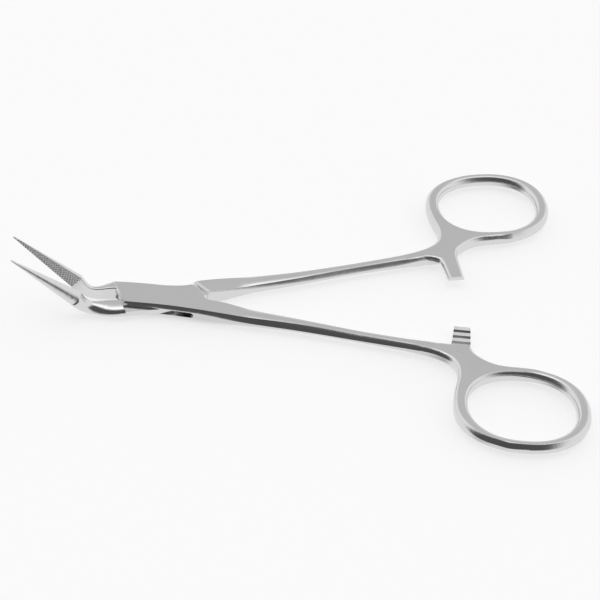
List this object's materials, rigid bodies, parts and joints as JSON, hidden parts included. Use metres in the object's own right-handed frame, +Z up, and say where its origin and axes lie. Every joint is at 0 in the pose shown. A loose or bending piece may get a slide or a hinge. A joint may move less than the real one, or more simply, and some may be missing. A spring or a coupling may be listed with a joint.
{
  "type": "splinter forceps",
  "caption": "Fine pointed forceps with upturned serrated jaws, a box lock, finger rings and a ratchet to hold the grip.",
  "frame": {"origin": "on the pivot axis, at the underside of the box lock", "axes": "+X along the closed instrument from the box lock to the finger rings, +Z up out of the flat side, the way the jaws turn up"},
  "size_m": [0.1197, 0.0842, 0.0171],
  "materials": {
    "satin_steel": "satin to polished stainless steel"
  },
  "bodies": {
    "box_side": {"box_half": "satin_steel", "pivot_pin": "satin_steel"},
    "tongue_side": {"tongue_half": "satin_steel"}
  },
  "joints": [
    {"name": "pivot", "type": "hinge", "parent": "box_side", "child": "tongue_side", "pos_m": [0, 0, 0.0019], "axis": [0, 0, 1], "range_deg": [-13.2, 16.8]}
  ]
}
